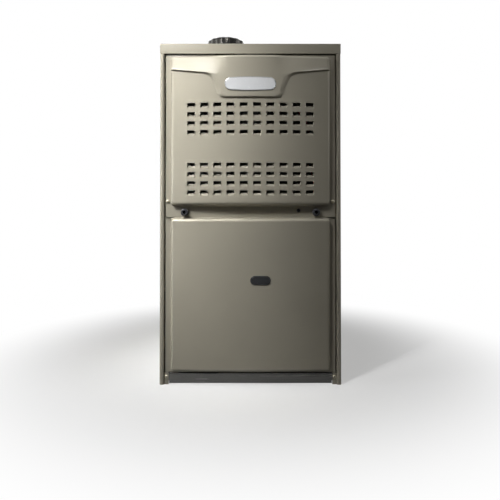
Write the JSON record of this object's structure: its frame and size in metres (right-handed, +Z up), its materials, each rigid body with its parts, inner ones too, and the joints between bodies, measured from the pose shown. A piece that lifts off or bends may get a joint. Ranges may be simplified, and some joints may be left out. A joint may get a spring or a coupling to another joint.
{
  "type": "forced air gas furnace",
  "caption": "Upflow gas furnace cabinet with louvred and plain crowned doors over a burner bay, heat exchanger, flue inducer and centrifugal blower.",
  "frame": {"origin": "on the floor, under the middle of the cabinet with its doors on", "axes": "+Z up, -Y to the front where the doors are, +X to the right seen from the front"},
  "size_m": [0.445, 0.73, 0.88],
  "materials": {
    "cabinet_paint": "satin pewter-taupe baked enamel with a fine metallic flake",
    "galvanised_steel": "bare zinc-coated sheet with faint spangle",
    "aluminised_steel": "dull aluminised sheet, heat tinted near the flame",
    "foil_liner": "foil-faced fibre board",
    "badge_enamel": "blank white enamel inside a thin silver rim",
    "black_rubber": "matt black rubber",
    "sight_glass": "smoked clear plastic window, looks nearly black",
    "glass_fibre": "glass fibre blanket with a scrim face",
    "slate_plastic": "slate grey moulded plastic",
    "zinc_screw": "zinc-plated screw",
    "black_screw": "blackened screw",
    "flue_steel": "dark slate-grey sheet steel with a soft shine",
    "motor_enamel": "black motor enamel",
    "white_plastic": "off-white moulded plastic",
    "silicone_hose": "red-brown silicone hose",
    "black_iron": "black iron gas pipe",
    "cast_aluminium": "sand-cast aluminium",
    "red_plastic": "red moulded plastic",
    "ceramic": "unglazed steatite",
    "black_plastic": "black phenolic moulding",
    "bright_steel": "ground bright steel shaft",
    "circuit_board": "green solder-resist board",
    "cable_sheath": "black cable sleeve"
  },
  "bodies": {
    "cabinet": {"casing_wrapper": "cabinet_paint", "top_cap": "cabinet_paint", "supply_duct_frame": "galvanised_steel", "base_rail": "galvanised_steel", "blower_deck": "galvanised_steel", "vestibule_panel": "aluminised_steel", "liner_left": "foil_liner", "liner_right": "foil_liner", "base_screw_left": "zinc_screw", "base_screw_right": "zinc_screw", "flue_pipe": "flue_steel", "flue_ring": "galvanised_steel", "flue_collector_box": "aluminised_steel", "inducer_housing": "flue_steel", "inducer_motor": "motor_enamel", "pressure_switch": "white_plastic", "pressure_hose": "silicone_hose", "heat_exchanger_left": "aluminised_steel", "heat_exchanger_center": "aluminised_steel", "heat_exchanger_right": "aluminised_steel", "burner_left": "aluminised_steel", "burner_center": "aluminised_steel", "burner_right": "aluminised_steel", "burner_rack": "galvanised_steel", "gas_manifold": "black_iron", "gas_valve": "cast_aluminium", "gas_line_grommet": "black_rubber", "hot_surface_ignitor": "ceramic", "flame_sensor": "ceramic", "rollout_switch_left": "black_plastic", "rollout_switch_right": "black_plastic", "limit_switch": "black_plastic", "blower_housing": "galvanised_steel", "blower_motor": "motor_enamel", "motor_mount": "galvanised_steel", "run_capacitor": "cast_aluminium", "control_box": "galvanised_steel", "control_board": "circuit_board", "transformer": "motor_enamel", "door_switch": "black_plastic", "wire_harness": "cable_sheath"},
    "upper_panel": {"upper_access_panel": "cabinet_paint", "badge_plate": "badge_enamel", "panel_screw_left": "zinc_screw", "panel_screw_right": "zinc_screw", "panel_screw_black": "black_screw"},
    "latch_left": {"latch_knob_left": "slate_plastic", "latch_cam_left": "galvanised_steel"},
    "latch_right": {"latch_knob_right": "slate_plastic", "latch_cam_right": "galvanised_steel"},
    "lower_panel": {"lower_access_panel": "cabinet_paint", "sight_glass_gasket": "black_rubber", "sight_glass": "sight_glass", "lower_panel_insulation": "glass_fibre"},
    "blower_rotor": {"blower_wheel": "galvanised_steel", "blower_shaft": "bright_steel"},
    "inducer_rotor": {"inducer_wheel": "galvanised_steel", "inducer_cooling_fan": "slate_plastic"},
    "gas_cock": {"gas_valve_knob": "red_plastic"},
    "door_button": {"door_switch_button": "white_plastic"}
  },
  "joints": [
    {"name": "upper_panel_removal", "type": "slide", "parent": "cabinet", "child": "upper_panel", "axis": [0, -1, 0], "range_m": [0, 0.3]},
    {"name": "lower_panel_removal", "type": "slide", "parent": "cabinet", "child": "lower_panel", "axis": [0, -1, 0], "range_m": [0, 0.3]},
    {"name": "latch_left_turn", "type": "hinge", "parent": "upper_panel", "child": "latch_left", "pos_m": [-0.161, -0.33, 0.421], "axis": [0, 1, 0], "range_deg": [0, 90]},
    {"name": "latch_right_turn", "type": "hinge", "parent": "upper_panel", "child": "latch_right", "pos_m": [0.161, -0.33, 0.421], "axis": [0, 1, 0], "range_deg": [0, 90]},
    {"name": "blower_spin", "type": "hinge", "parent": "cabinet", "child": "blower_rotor", "pos_m": [0, 0.13, 0.228], "axis": [1, 0, 0], "continuous": true},
    {"name": "inducer_spin", "type": "hinge", "parent": "cabinet", "child": "inducer_rotor", "pos_m": [0, -0.228, 0.69], "axis": [0, 1, 0], "continuous": true},
    {"name": "gas_cock_turn", "type": "hinge", "parent": "cabinet", "child": "gas_cock", "pos_m": [-0.179, -0.27, 0.498], "axis": [0, 1, 0], "range_deg": [0, 90]},
    {"name": "door_button_press", "type": "slide", "parent": "cabinet", "child": "door_button", "axis": [0, 1, 0], "range_m": [0, 0.004], "stiffness_N_per_m": 300}
  ]
}
